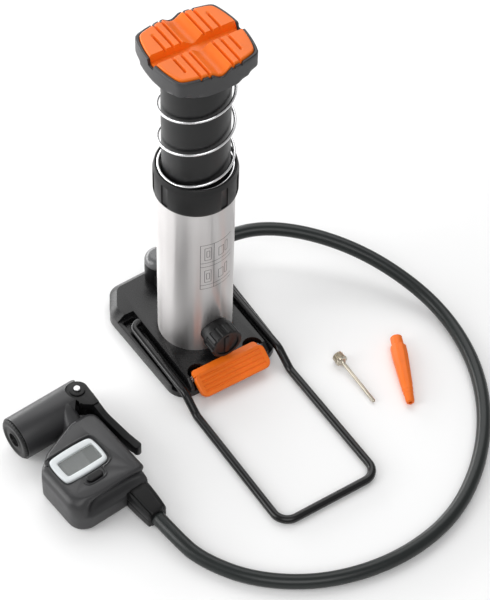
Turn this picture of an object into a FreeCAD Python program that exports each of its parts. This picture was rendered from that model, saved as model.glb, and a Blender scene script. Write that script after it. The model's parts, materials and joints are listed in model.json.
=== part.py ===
import FreeCAD, Part
import math
import os
from FreeCAD import Vector

# Foot-operated air pump: moulded base, upright barrel with a sprung foot pedal, folding wire stand,
# rear check valve with a hose, and a chuck head with a digital gauge.  Millimetres, +Z up.
# The origin is on the barrel's axis at floor level; the toe of the pump points along -Y.

X = Vector(1, 0, 0)
Y = Vector(0, 1, 0)
Z = Vector(0, 0, 1)
ORIGIN = Vector(0, 0, 0)

# Driving dimensions: base
DECK_Z = 13.0               # top of the base plateau
RAIL_Z = 8.6                # top of the side rails
CHANNEL_Z = 5.0             # floor of the side channels that hold the wire
PLATEAU_HALF = 27.3
RAIL_INNER = 36.1
BASE_FRONT = -39.8
BASE_BACK = 54.0
BEVEL = 4.5                 # width of the sloping edge round the base
# Barrel and plunger
BARREL_R = 22.5
BORE_R = 20.5
BARREL_Z0 = 7.0
BARREL_TOP = 144.0
FOOT_PLUG_TOP = 24.0
STROKE = 64.0
PISTON_Z0 = FOOT_PLUG_TOP + STROKE + 9.5    # underside of the raised piston
ROD_R = 19.2                # large dark tube that carries the pedal
ROD_BORE_R = 16.7
ROD_TOP = 226.0
PEDAL_UNDER = 225.0
PEDAL_TOP = 237.5
# Collar and return spring
COLLAR_Z0 = 130.0
COLLAR_TOP = 150.5
SPRING_SEAT = 147.4
SPRING_R = 21.2
SPRING_WIRE_R = 0.85
SPRING_TURNS = 2.95         # open turns between the closed end rings
# Wire stand
WIRE_R = 2.5
STAND_HALF = 33.06
STAND_FRONT = -145.7
PIVOT_Y = 19.25
PIVOT_Z = 10.24
# Release knob, on the barrel's toe side
KNOB_Z = 28.0
KNOB_R = 10.2
KNOB_FRONT = -36.0
KNOB_BACK = -25.6
# Rear valve housing
VALVE_X = 1.5
VALVE_Y = 44.0
VALVE_R = 9.0
VALVE_SPLIT_Z = 26.0        # joint between the housing and its domed cap
VALVE_TOP = 31.5
VALVE_SEAT_Z = 18.0
BALL_R = 3.0
BALL_SEAT_R = 2.0
SPRING_POCKET_TOP = 29.5
DUCT_Z = 15.5
HOSE_EXIT_Z = 20.5
HOSE_EXIT_X = 24.0
HOSE_R = 4.3
# Toe latch
LATCH_Y = -34.0
LATCH_Z = 9.0
LATCH_TILT = 33.5
LATCH_HALF = 24.2
LATCH_PIN_R = 1.25
# Chuck head: its own frame has the lever's pivot at the origin and the chuck along -X
HEAD_AT = Vector(-91.4, -17.3, 0)
HEAD_TURN = 5.5
CHUCK_R = 13.2
CHUCK_Z = 14.4
GAUGE_SPLIT_Z = 16.0
GAUGE_TOP_Z = 24.0
SLEEVE_X = -8.8
SLEEVE_Z = 7.0
SLEEVE_ROOT = -70.0
SLEEVE_END = -89.0

FIT = 0.05                  # radial gap between parts of one assembly
GAP = 0.3                   # gap to a part that moves


# ---------------------------------------------------------------- shared shapes

def save(node, shape):
    """Write one node, after checking that it is a valid closed shape."""
    solids = shape.Solids
    if not shape.isValid() or not solids:
        print("CHECK", node, "valid", shape.isValid(), "solids", len(solids))
    if len(solids) == 1:
        shape = solids[0]
    else:
        shape = Part.makeCompound(solids)
    shape.exportStep("parts/" + node + ".step")


def rod(radius, start, end):
    """Cylinder between two points."""
    a = Vector(*start)
    b = Vector(*end)
    return Part.makeCylinder(radius, (b - a).Length, a, b - a)


def block(x0, x1, y0, y1, z0, z1):
    return Part.makeBox(x1 - x0, y1 - y0, z1 - z0, Vector(x0, y0, z0))


def turned(profile, centre=(0, 0)):
    """Solid of revolution about a vertical axis; the profile is (radius, z) points."""
    points = [Vector(r + centre[0], centre[1], z) for r, z in profile]
    face = Part.Face(Part.makePolygon(points + points[:1]))
    return face.revolve(Vector(centre[0], centre[1], 0), Z, 360)


def turned_along_x(profile, centre):
    """Solid of revolution about a line along X; the profile is (x, radius) points."""
    points = [Vector(x, centre[1], centre[2] + r) for x, r in profile]
    face = Part.Face(Part.makePolygon(points + points[:1]))
    return face.revolve(Vector(0, centre[1], centre[2]), X, 360)


def corner(before, point, after, radius):
    """Tangent points and middle of the arc that rounds one corner of a path."""
    u = (before - point).normalize()
    v = (after - point).normalize()
    turn = math.pi - u.getAngle(v)
    trim = radius * math.tan(turn / 2)
    bisector = (u + v).normalize()
    centre = point + bisector * (radius / math.cos(turn / 2))
    return point + u * trim, centre - bisector * radius, point + v * trim


def rounded_path(points, radii, closed=False):
    """Wire of straight runs joined by tangent arcs; radii has one value per point."""
    points = [Vector(*p) for p in points]
    count = len(points)
    edges = []
    first = None
    last = None
    for i, point in enumerate(points):
        ends = not closed and i in (0, count - 1)
        if ends or radii[i] == 0:
            start = middle = end = point
        else:
            start, middle, end = corner(points[i - 1], point, points[(i + 1) % count], radii[i])
        if last is not None:
            edges.append(Part.LineSegment(last, start).toShape())
        if middle is not point:
            edges.append(Part.Arc(start, middle, end).toShape())
        if first is None:
            first = start
        last = end
    if closed:
        edges.append(Part.LineSegment(last, first).toShape())
    return Part.Wire(edges)


def prism(points, z0, z1):
    """Upright prism on a rounded outline of (x, y, corner radius) points."""
    outline = rounded_path([(x, y, z0) for x, y, r in points], [r for x, y, r in points], closed=True)
    return Part.Face(outline).extrude(Vector(0, 0, z1 - z0))


def rounded_box(x0, x1, y0, y1, z0, z1, radius):
    return prism([(x0, y0, radius), (x1, y0, radius), (x1, y1, radius), (x0, y1, radius)], z0, z1)


def slab_inside(points, inset, z0, z1):
    """Prism on the same outline, drawn in by an inset."""
    outline = rounded_path([(x, y, z0) for x, y, r in points], [r for x, y, r in points], closed=True)
    face = Part.Face(outline.makeOffset2D(-inset))
    return face.extrude(Vector(0, 0, z1 - z0))


def pipe(path, radius):
    """Round bar along a path of lines and arcs."""
    edge = path.OrderedEdges[0]
    direction = edge.tangentAt(edge.FirstParameter)
    section = Part.Wire(Part.Circle(path.OrderedVertexes[0].Point, direction, radius).toShape())
    return path.makePipeShell([section], True, False)


def coil(radius, wire_r, pitch, height, at, start_angle=0.0):
    """Helical spring body standing on z = at[2]."""
    helix = Part.makeHelix(pitch, height, radius)
    section = Part.Wire(Part.Circle(Vector(radius, 0, 0), Y, wire_r).toShape())
    body = Part.Wire(helix).makePipeShell([section], True, True)
    body.rotate(ORIGIN, Z, start_angle)
    body.translate(Vector(*at))
    return body


def round_edges(shape, radius, wanted):
    """Fillet the edges whose centre satisfies wanted(point); keep the sharp shape if it can't be done."""
    edges = [e for e in shape.Edges if wanted(e.CenterOfMass)]
    try:
        smooth = shape.makeFillet(radius, edges)
    except Part.OCCError:
        print("CHECK sharp edges kept at", shape.BoundBox.Center)
        return shape
    return smooth if smooth.isValid() and smooth.Solids else shape


def both_sides(shape):
    """The shape and its mirror image across the pump's centre plane."""
    return [shape, shape.mirror(ORIGIN, X)]


# ---------------------------------------------------------------- base

BASE_OUTLINE = [(-36.4, BASE_FRONT, 12), (36.4, BASE_FRONT, 12), (38.8, 36, 12), (29, 52.5, 10),
                (0, BASE_BACK, 150), (-29, 52.5, 10), (-38.8, 36, 12)]


def deck_with_bevel():
    """Upper part of the base: the outline drawn in by a wide bevel."""
    low = rounded_path([(x, y, 9) for x, y, r in BASE_OUTLINE], [r for x, y, r in BASE_OUTLINE], True)
    high = low.makeOffset2D(-BEVEL)
    high.translate(Vector(0, 0, DECK_Z - 9))
    return Part.makeLoft([low, high], True, True)


def base_plate():
    plate = prism(BASE_OUTLINE, 0.6, 9).fuse(deck_with_bevel())
    cuts = [slab_inside(BASE_OUTLINE, 3.0, 0, 3.4)]
    cuts += both_sides(block(PLATEAU_HALF, 50, -50, 27, RAIL_Z, 20))
    cuts += both_sides(rounded_box(PLATEAU_HALF, RAIL_INNER, -60, 25.5, CHANNEL_Z, 20, 1.5))
    cuts += both_sides(rod(WIRE_R + 0.08, (20.5, PIVOT_Y, PIVOT_Z), (PLATEAU_HALF + 1, PIVOT_Y, PIVOT_Z)))
    cuts.append(rod(BARREL_R + FIT, (0, 0, BARREL_Z0), (0, 0, 20)))
    bay = LATCH_HALF + 1
    cuts.append(block(-bay, bay, -50, LATCH_Y - GAP, CHANNEL_Z, 20))
    cuts += both_sides(rod(6.2, (19.4, LATCH_Y, 4.6), (19.4, LATCH_Y, 20)))
    cuts += both_sides(block(13.8, bay, -40, LATCH_Y, 4.6, 20))
    cuts.append(rod(LATCH_PIN_R + 0.02, (-26.6, LATCH_Y, LATCH_Z), (26.6, LATCH_Y, LATCH_Z)))
    for x, y in screw_places():
        cuts.append(rod(3.6, (x, y, 3), (x, y, 5.4)))
        cuts.append(rod(2.05, (x, y, 3), (x, y, 8)))
    return plate.cut(cuts)


def screw_places():
    return [(12 * math.cos(math.radians(a)), 12 * math.sin(math.radians(a))) for a in (45, 135, 225, 315)]


def base_screws():
    screws = []
    for x, y in screw_places():
        screws.append(rod(3.5, (x, y, 3.45), (x, y, 5.4)).fuse(rod(2.0, (x, y, 5.0), (x, y, 15))))
    return Part.makeCompound(screws)


def make_base():
    save("base_plate", base_plate())
    save("base_cover", slab_inside(BASE_OUTLINE, 3.1, 1.6, 3.4))
    save("base_pad", slab_inside(BASE_OUTLINE, 3.4, 0, 1.6))
    save("base_screws", base_screws())


# ---------------------------------------------------------------- barrel and collar

def barrel():
    tube = turned([(BORE_R, BARREL_Z0), (BARREL_R, BARREL_Z0), (BARREL_R, BARREL_TOP), (BORE_R, BARREL_TOP)])
    holes = [rod(2.3, (0, 15, DUCT_Z), (0, 30, DUCT_Z)), rod(3.3, (0, -15, KNOB_Z), (0, -30, KNOB_Z))]
    return tube.cut(holes)


def barrel_foot():
    """Plug that closes the barrel's lower end and leads the air to the rear."""
    radius = BORE_R - FIT
    plug = turned([(0, BARREL_Z0), (radius, BARREL_Z0), (radius, 18.5), (18.6, 18.5), (18.6, 21.5),
                   (radius, 21.5), (radius, FOOT_PLUG_TOP), (0, FOOT_PLUG_TOP)])
    cuts = [rod(2.3, (0, 0, DUCT_Z), (0, 30, DUCT_Z)), rod(2.3, (0, 0, DUCT_Z), (0, 0, 30))]
    cuts += [rod(2.05, (x, y, 5), (x, y, 15.5)) for x, y in screw_places()]
    return plug.cut(cuts)


def collar():
    """Black ring on the barrel's top, with three pairs of upright grooves."""
    inner = BARREL_R + FIT
    body = turned([(inner, COLLAR_Z0), (23.2, COLLAR_Z0), (23.9, COLLAR_Z0 + 1), (24.2, COLLAR_Z0 + 2.4),
                   (24.2, 146.5), (23.4, COLLAR_TOP - 0.4), (23.0, COLLAR_TOP), (22.5, COLLAR_TOP),
                   (22.5, SPRING_SEAT), (19.6, SPRING_SEAT), (19.6, BARREL_TOP + 1),
                   (inner, BARREL_TOP + 1)])
    grooves = []
    for pair in (-64.5, 55.5, 175.5):
        for side in (-16, 16):
            groove = block(23.45, 26, -2.4, 2.4, COLLAR_Z0 + 2.2, 146.8)
            groove.rotate(ORIGIN, Z, pair + side)
            grooves.append(groove)
    return body.cut(grooves)


def make_barrel():
    save("barrel", barrel())
    save("barrel_foot", barrel_foot())
    save("foot_seal", turned([(18.7, 18.7), (BORE_R - FIT, 18.7), (BORE_R - FIT, 21.3), (18.7, 21.3)]))
    save("collar", collar())
    bush = turned([(ROD_R + GAP, 131), (BORE_R - FIT, 131), (BORE_R - FIT, BARREL_TOP), (22.4, BARREL_TOP),
                   (22.4, BARREL_TOP + 1), (ROD_R + GAP, BARREL_TOP + 1)])
    save("guide_bush", bush)


# ---------------------------------------------------------------- plunger, pedal and spring

def make_piston():
    z = PISTON_Z0
    tube = turned([(ROD_BORE_R, z + 9), (ROD_R, z + 9), (ROD_R, ROD_TOP), (ROD_BORE_R, ROD_TOP)])
    save("plunger_tube", tube)
    piston = turned([(0, z + 1.5), (20.1, z + 1.5), (20.1, z + 2.5), (17.6, z + 2.5), (17.6, z + 6.5),
                     (20.1, z + 6.5), (20.1, z + 9), (ROD_BORE_R - FIT, z + 9), (ROD_BORE_R - FIT, z + 20),
                     (12, z + 20), (12, z + 9), (0, z + 9)])
    save("piston", piston.cut(rod(2.55, (0, 0, z), (0, 0, z + 12))))
    seal = turned([(17.65, z + 2.6), (20.2, z + 2.6), (20.2, z + 3.6), (19.4, z + 6.4), (17.65, z + 6.4)])
    save("piston_seal", seal)
    screw = rod(6.5, (0, 0, z), (0, 0, z + 1.5)).fuse(rod(2.5, (0, 0, z + 1), (0, 0, z + 15)))
    save("piston_screw", screw.cut(block(-5, 5, -0.6, 0.6, z - 1, z + 0.7)))
    corners = [math.radians(60 * i) for i in range(7)]
    hexagon = Part.makePolygon([Vector(4.6 * math.cos(a), 4.6 * math.sin(a), z + 9) for a in corners])
    nut = Part.Face(hexagon).extrude(Vector(0, 0, 4))
    save("piston_nut", nut.cut(rod(2.55, (0, 0, z), (0, 0, z + 20))))


def pedal_outline(z):
    """Closed outline with four bowed sides."""
    cx, cy, bow_x, bow_y = 24.4, 22.5, 28.2, 26.3
    corners = [Vector(-cx, -cy, z), Vector(cx, -cy, z), Vector(cx, cy, z), Vector(-cx, cy, z)]
    middles = [Vector(0, -bow_y, z), Vector(bow_x, 0, z), Vector(0, bow_y, z), Vector(-bow_x, 0, z)]
    return Part.Wire([Part.Arc(corners[i], middles[i], corners[(i + 1) % 4]).toShape() for i in range(4)])


def pedal_prism(inset, z0, z1, corner_r):
    outline = pedal_outline(z0)
    if inset:
        outline = outline.makeOffset2D(-inset)
    solid = Part.Face(outline).extrude(Vector(0, 0, z1 - z0))
    middle = (z0 + z1) / 2
    at_corner = lambda p: abs(p.z - middle) < 0.01 and abs(p.x) > 15 and abs(p.y) > 15
    return round_edges(solid, corner_r, at_corner)


TROUGH_HALF_X = 4.8         # half width of the trough that runs front to back
TROUGH_HALF_Y = 3.6         # half width of the trough that takes the folded stand's bar
RIM_WIDTH = 1.7             # black rim round the tread


def pedal_frame():
    rim = pedal_prism(0, PEDAL_UNDER, PEDAL_TOP, 3.5)
    cone = turned([(0, PEDAL_UNDER), (27.5, PEDAL_UNDER), (34, 229.5), (45, 229.5), (45, 250), (0, 250)])
    cuts = [pedal_prism(RIM_WIDTH, PEDAL_TOP - 5, 250, 2.4), rod(ROD_R + FIT, (0, 0, 220), (0, 0, ROD_TOP))]
    cuts.append(block(-50, 50, -TROUGH_HALF_Y, TROUGH_HALF_Y, PEDAL_TOP - 3.5, 250))
    cuts.append(block(-TROUGH_HALF_X, TROUGH_HALF_X, -50, 50, PEDAL_TOP - 2.2, 250))
    spigot = rod(ROD_BORE_R - FIT, (0, 0, 214), (0, 0, 228)).cut(rod(14, (0, 0, 213), (0, 0, 226)))
    body = rim.common(cone)
    body = round_edges(body, 1.2, lambda p: abs(p.z - PEDAL_TOP) < 0.01)
    return body.cut(cuts).fuse(spigot)


def pedal_tread():
    top = PEDAL_TOP + 1.2
    pad = pedal_prism(RIM_WIDTH + 0.1, PEDAL_TOP - 5, top, 2.3)
    pad = round_edges(pad, 1.0, lambda p: abs(p.z - top) < 0.01)
    cuts = [block(-TROUGH_HALF_X, TROUGH_HALF_X, -50, 50, PEDAL_TOP - 1.6, 250)]
    cuts.append(block(-50, 50, -TROUGH_HALF_Y, TROUGH_HALF_Y, PEDAL_TOP - 3.4, 250))
    for x, reach in ((7.2, 22.5), (12.0, 22.0), (17.0, 17.5)):
        for sx in (-1, 1):
            for sy in (-1, 1):
                y0, y1 = sorted((sy * 3.0, sy * reach))
                cuts.append(block(sx * x - 0.8, sx * x + 0.8, y0, y1, PEDAL_TOP - 0.8, 250))
    return pad.cut(cuts)


def return_spring():
    """Open coil between two closed end rings, wound right-handed."""
    end_rise = 1.95
    low = SPRING_SEAT + SPRING_WIRE_R + 0.05
    high = PEDAL_UNDER - SPRING_WIRE_R - 0.3
    active = high - low - 2 * end_rise
    first = coil(SPRING_R, SPRING_WIRE_R, active / SPRING_TURNS, active, (0, 0, low + end_rise), 207.7)
    rings = [Part.makeTorus(SPRING_R, SPRING_WIRE_R, Vector(0, 0, z)) for z in (low, low + end_rise)]
    rings += [Part.makeTorus(SPRING_R, SPRING_WIRE_R, Vector(0, 0, z)) for z in (high - end_rise, high)]
    return first.fuse([rings[1], rings[2]]), rings[0], rings[3]


def make_plunger():
    make_piston()
    save("pedal_frame", pedal_frame())
    save("pedal_tread", pedal_tread())
    active, low, high = return_spring()
    save("return_spring", Part.makeCompound([active, low, high]))


# ---------------------------------------------------------------- wire stand

def make_stand():
    a = STAND_HALF
    leg = [(-22, PIVOT_Y, PIVOT_Z), (-a, PIVOT_Y, PIVOT_Z), (-a, -41.7, PIVOT_Z), (-a, -54.6, WIRE_R),
           (-a, STAND_FRONT, WIRE_R)]
    points = leg + [(-x, y, z) for x, y, z in reversed(leg)]
    bends = [0, 4.5, 9, 9, 9]
    stand = pipe(rounded_path(points, bends + bends[::-1]), WIRE_R)
    save("wire_stand", stand)


# ---------------------------------------------------------------- release knob on the toe side

def knob():
    body = rod(KNOB_R, (0, KNOB_BACK, KNOB_Z), (0, KNOB_FRONT, KNOB_Z))
    body = round_edges(body, 1.0, lambda p: abs(p.y - KNOB_FRONT) < 0.01)
    cuts = [rod(7.9, (0, KNOB_FRONT - 1, KNOB_Z), (0, KNOB_FRONT + 1.0, KNOB_Z))]
    flutes = 16
    for i in range(flutes):
        a = 2 * math.pi * i / flutes
        x = (KNOB_R + 0.5) * math.cos(a)
        z = KNOB_Z + (KNOB_R + 0.5) * math.sin(a)
        cuts.append(rod(1.1, (x, KNOB_FRONT - 1, z), (x, KNOB_BACK - 2.4, z)))
    cuts.append(rod(3.0 + FIT, (0, -20, KNOB_Z), (0, -32, KNOB_Z)))
    bar = block(-1.4, 1.4, KNOB_FRONT + 0.2, KNOB_FRONT + 1.5, KNOB_Z - 6.6, KNOB_Z + 6.6)
    return body.cut(cuts).fuse(bar)


def make_knob():
    around_barrel = rod(BARREL_R + FIT, (0, 0, 0), (0, 0, 60))
    boss = rod(9.0, (0, -12, KNOB_Z), (0, KNOB_BACK + GAP, KNOB_Z)).cut(around_barrel)
    bore = rod(3.06, (0, -12, KNOB_Z), (0, -30, KNOB_Z))
    seal_room = rod(4.8, (0, -30, KNOB_Z), (0, -24.1, KNOB_Z))
    save("bleed_port", boss.cut([bore, seal_room]))
    spindle = rod(3.0, (0, -32, KNOB_Z), (0, -21.6, KNOB_Z))
    tip = Part.makeCone(3.0, 2.0, 1.0, Vector(0, -21.6, KNOB_Z), Y)
    save("bleed_spindle", spindle.fuse(tip))
    seal = rod(4.7, (0, -24.1, KNOB_Z), (0, -25.2, KNOB_Z)).cut(rod(3.1, (0, -20, KNOB_Z), (0, -30, KNOB_Z)))
    save("bleed_seal", seal)
    save("bleed_knob", knob())


# ---------------------------------------------------------------- toe latch

def toe_latch():
    """Ribbed toe plate on two ears, modelled level and then tilted."""
    length = 15.4
    plate = rounded_box(-LATCH_HALF, LATCH_HALF, -length, 0, -3.2, 0, 4.5)
    plate = round_edges(plate, 0.9, lambda p: abs(p.z) < 0.01)
    reach = LATCH_HALF - 3.2
    cuts = [rod(0.85, (-reach, y, 0.25), (reach, y, 0.25)) for y in (-3.2, -6.1, -9.0, -11.9)]
    plate = plate.cut(cuts)
    webs = both_sides(block(15.2, 21.8, -5.5, -0.5, -6.5, -3.0))
    plate = plate.fuse(webs)
    plate.rotate(ORIGIN, X, LATCH_TILT)
    plate.translate(Vector(0, -36.6, 15.5))
    ears = both_sides(rod(3.9, (15.2, LATCH_Y, LATCH_Z), (21.8, LATCH_Y, LATCH_Z)))
    lip = rounded_box(-LATCH_HALF, LATCH_HALF - 3, -40.5, -33.0, 13.5, 15.0, 2.5)
    lip = lip.cut(block(-30, 30, -45, -37.6, 10, 20))
    body = plate.fuse([lip] + ears)
    return body.cut(rod(LATCH_PIN_R + 0.06, (-30, LATCH_Y, LATCH_Z), (30, LATCH_Y, LATCH_Z)))


def make_latch():
    save("toe_latch", toe_latch())
    save("latch_pin", rod(LATCH_PIN_R, (-26.5, LATCH_Y, LATCH_Z), (26.5, LATCH_Y, LATCH_Z)))
    springs = []
    for x in (22.3, -24.5):
        spring = coil(2.0, 0.2, 0.8, 2.2, (0, 0, 0), 180)
        spring.rotate(ORIGIN, Y, 90)
        spring.translate(Vector(x, LATCH_Y, LATCH_Z))
        springs.append(spring)
    save("latch_springs", Part.makeCompound(springs))


# ---------------------------------------------------------------- rear valve housing

def valve_housing():
    boss = rod(VALVE_R, (VALVE_X, VALVE_Y, DECK_Z), (VALVE_X, VALVE_Y, VALVE_SPLIT_Z))
    bridge = block(VALVE_X - 7, VALVE_X + 7, 15, VALVE_Y, DECK_Z, 22)
    seat = rod(5.2, (VALVE_X + 3, VALVE_Y, HOSE_EXIT_Z), (VALVE_X + 10.5, VALVE_Y, HOSE_EXIT_Z))
    cuts = [rod(BARREL_R + FIT, (0, 0, 0), (0, 0, 60)),
            rod(5.2, (VALVE_X, VALVE_Y, VALVE_SEAT_Z), (VALVE_X, VALVE_Y, 40)),
            rod(BALL_SEAT_R, (VALVE_X, VALVE_Y, DUCT_Z), (VALVE_X, VALVE_Y, 20)),
            rod(2.0, (0, 15, DUCT_Z), (0, VALVE_Y, DUCT_Z)),
            rod(2.0, (VALVE_X, VALVE_Y, DUCT_Z), (0, VALVE_Y, DUCT_Z)),
            rod(3.2, (VALVE_X, VALVE_Y, HOSE_EXIT_Z), (VALVE_X + 20, VALVE_Y, HOSE_EXIT_Z))]
    return boss.fuse([bridge, seat]).cut(cuts)


def valve_cap():
    """Domed cap with a plug that enters the housing and a pocket for the spring."""
    dome = rod(VALVE_R, (VALVE_X, VALVE_Y, VALVE_SPLIT_Z), (VALVE_X, VALVE_Y, VALVE_TOP))
    dome = round_edges(dome, 5.0, lambda p: abs(p.z - VALVE_TOP) < 0.01)
    plug_z = VALVE_SPLIT_Z - 1
    dome = dome.fuse(rod(5.1, (VALVE_X, VALVE_Y, plug_z), (VALVE_X, VALVE_Y, VALVE_SPLIT_Z + 1)))
    return dome.cut(rod(3.2, (VALVE_X, VALVE_Y, plug_z - 1), (VALVE_X, VALVE_Y, SPRING_POCKET_TOP)))


def make_valve():
    save("valve_housing", valve_housing())
    save("valve_cap", valve_cap())
    ball_z = VALVE_SEAT_Z + math.sqrt(BALL_R ** 2 - BALL_SEAT_R ** 2) + 0.15
    save("check_ball", Part.makeSphere(BALL_R, Vector(VALVE_X, VALVE_Y, ball_z)))
    low = ball_z + BALL_R + GAP
    save("valve_spring", coil(2.0, 0.2, 0.9, SPRING_POCKET_TOP - GAP - low, (VALVE_X, VALVE_Y, low)))
    centre = (0, VALVE_Y, HOSE_EXIT_Z)
    flange = VALVE_X + 10.5
    nipple = turned_along_x([(7, 1.8), (7, 3.15), (flange, 3.15), (flange, 5.0), (14, 5.0), (14, 3.0),
                             (HOSE_EXIT_X, 2.6), (HOSE_EXIT_X, 1.8)], centre)
    save("hose_connector", nipple)
    ferrule = turned_along_x([(14.1, 3.1), (14.1, 5.3), (15, 5.6), (23, 5.5), (HOSE_EXIT_X, 5.1),
                              (HOSE_EXIT_X, 3.1)], centre)
    save("hose_ferrule", ferrule)


# ---------------------------------------------------------------- hose

HOSE_POINTS = [(HOSE_EXIT_X, VALVE_Y, HOSE_EXIT_Z), (46, VALVE_Y, HOSE_EXIT_Z), (72, 34, 25.5),
               (99, 9, 24.5), (122, -22, 17), (137, -62, 6.6), (132, -105, 4.4), (114, -142, 4.4),
               (86, -173, 4.4), (50, -195, 4.4), (8, -201, 4.4), (-34, -192, 4.4), (-67, -170, 4.4),
               (-85.5, -142, 4.4)]


def head_point(x, y, z):
    """A point of the head's own frame, in the pump's frame."""
    a = math.radians(HEAD_TURN)
    return (HEAD_AT.x + x * math.cos(a) - y * math.sin(a), HEAD_AT.y + x * math.sin(a) + y * math.cos(a), z)


def bend_radius(before, point, after):
    """Largest arc that the two runs beside a point leave room for."""
    a = Vector(*before) - Vector(*point)
    b = Vector(*after) - Vector(*point)
    turn = math.pi - a.getAngle(b)
    return 0.45 * min(a.Length, b.Length) / math.tan(turn / 2)


def make_hose():
    points = HOSE_POINTS + [head_point(SLEEVE_X, y, SLEEVE_Z) for y in (SLEEVE_END - 14.5, SLEEVE_END)]
    radii = [0]
    for i in range(1, len(points) - 1):
        radii.append(bend_radius(points[i - 1], points[i], points[i + 1]))
    radii.append(0)
    path = rounded_path(points, radii)
    hose = pipe(path, HOSE_R)
    print("hose bend radii", [round(r) for r in radii[1:-1]])
    ratio = hose.Volume / (math.pi * HOSE_R ** 2 * path.Length)
    lowest = hose.optimalBoundingBox(True, False).ZMin
    print("hose length", round(path.Length, 1), "volume ratio", round(ratio, 4), "lowest", round(lowest, 2))
    save("hose", hose)


# ---------------------------------------------------------------- chuck head, in its own frame

BODY_END = -43.3            # open end of the chuck's cylinder
CAP_END = -45.2             # outer face of the screwed ring
FORK_IN = 6.3               # the fork's cheeks lie between these heights off the chuck's axis
FORK_OUT = 11.6


def gauge_outline(far):
    """Outline of the gauge's case, with its far wall at the given place."""
    return [(-49.5, far, 10.5), (0.5, far, 4), (0.5, -15.2, 6), (-16.5, -15.2, 8), (-39.0, -24.8, 5),
            (-49.5, -33.8, 5)]


def save_head(node, shape):
    """Place a shape of the head's frame in the pump's frame and write it."""
    shape.rotate(ORIGIN, Z, HEAD_TURN)
    shape.translate(HEAD_AT)
    save(node, shape)


def sector(radius, start, end, z0, z1):
    """Wedge about the pivot between two angles in degrees."""
    steps = [start + (end - start) * i / 6 for i in range(7)]
    rim = [Vector(radius * math.cos(math.radians(a)), radius * math.sin(math.radians(a)), z0) for a in steps]
    outline = Part.makePolygon([Vector(0, 0, z0)] + rim + [Vector(0, 0, z0)])
    return Part.Face(outline).extrude(Vector(0, 0, z1 - z0))


def chuck_body():
    axis = (0, 0, CHUCK_Z)
    body = turned_along_x([(BODY_END, 0), (BODY_END, CHUCK_R), (4, CHUCK_R), (4, 0)], axis)
    body = round_edges(body, 1.2, lambda p: p.x > 3.9)
    neck = rounded_box(-17, -5, -15.1, 0, 2, 20.5, 1.5)
    body = body.fuse(neck)
    body = body.cut([rod(6.9, (0, 0, -1), (0, 0, 30)), sector(14.8, -132, 66, -1, 30)])
    low = CHUCK_Z - FORK_IN + GAP
    high = CHUCK_Z + FORK_IN - GAP
    tongue = rod(6.2, (0, 0, low), (0, 0, high)).fuse(block(-9, 0, -5.0, 5.0, low, high))
    body = body.fuse(tongue)
    bore = turned_along_x([(-45, 0), (-45, 11.1), (-36.9, 11.1), (-36.9, 9.0), (-19.5, 9.0), (-19.5, 5.2),
                           (-6.4, 5.2), (-6.4, 0)], axis)
    return body.cut([bore, rod(2.03, (0, 0, 0), (0, 0, 30))])


def chuck_cap():
    """Screwed end ring that holds the valve seal, knurled on its rim."""
    inner = BODY_END - GAP
    cap = turned_along_x([(CAP_END, 4.4), (CAP_END, 10.9), (CAP_END + 0.6, 12.4), (inner, 12.6),
                          (inner, 11.0), (-37, 11.0), (-37, 8.9), (-43.9, 8.9), (-43.9, 4.4)],
                         (0, 0, CHUCK_Z))
    flutes = 24
    cuts = []
    for i in range(flutes):
        a = 2 * math.pi * i / flutes
        y = 12.9 * math.cos(a)
        z = CHUCK_Z + 12.9 * math.sin(a)
        cuts.append(rod(0.8, (CAP_END - 1, y, z), (inner - 0.4, y, z)))
    return cap.cut(cuts)


def lever_arm():
    """Thumb arm: narrow seen from above, tapering to the tip seen from the side."""
    plan = [(-0.6, -8.0, 0.3), (5.8, -7.4, 0.3), (5.0, -22.0, 40), (9.6, -50.3, 2.0), (5.2, -51.4, 2.0),
            (1.4, -24.0, 40), (1.4, -12.0, 1.0)]
    side = [(-6, CHUCK_Z - FORK_OUT), (-12, CHUCK_Z - FORK_OUT), (-40, 11.5), (-60, 13.0), (-60, 18.6),
            (-40, 19.8), (-12, CHUCK_Z + FORK_OUT), (-6, CHUCK_Z + FORK_OUT)]
    points = [Vector(-5, y, z) for y, z in side]
    band = Part.Face(Part.makePolygon(points + points[:1])).extrude(Vector(30, 0, 0))
    return prism(plan, 4.0, 25.0).common(band)


def thumb_lever():
    """Forked cam lever: two round cheeks, a bridge and the thumb arm."""
    low = (CHUCK_Z - FORK_OUT, CHUCK_Z - FORK_IN)
    high = (CHUCK_Z + FORK_IN, CHUCK_Z + FORK_OUT)
    body = sector(10.0, -118, -52, low[0], high[1]).cut(rod(6.55, (0, 0, 0), (0, 0, 30)))
    parts = [lever_arm()]
    for z0, z1 in (low, high):
        parts.append(rod(6.5, (0, 0, z0), (0, 0, z1)))
        parts.append(sector(9.0, -118, -52, z0, z1))
        parts.append(prism([(6.45, -0.6, 0), (0, 0, 0), (-4.85, -4.3, 0), (-3.2, -10.5, 1.5), (1.4, -14.2, 0.5),
                            (5.3, -14.2, 0)], z0, z1))
    body = body.fuse(parts)
    return body.cut([rod(2.06, (0, 0, 0), (0, 0, 30)), rod(6.55, (0, 0, low[1]), (0, 0, high[0]))])


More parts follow.
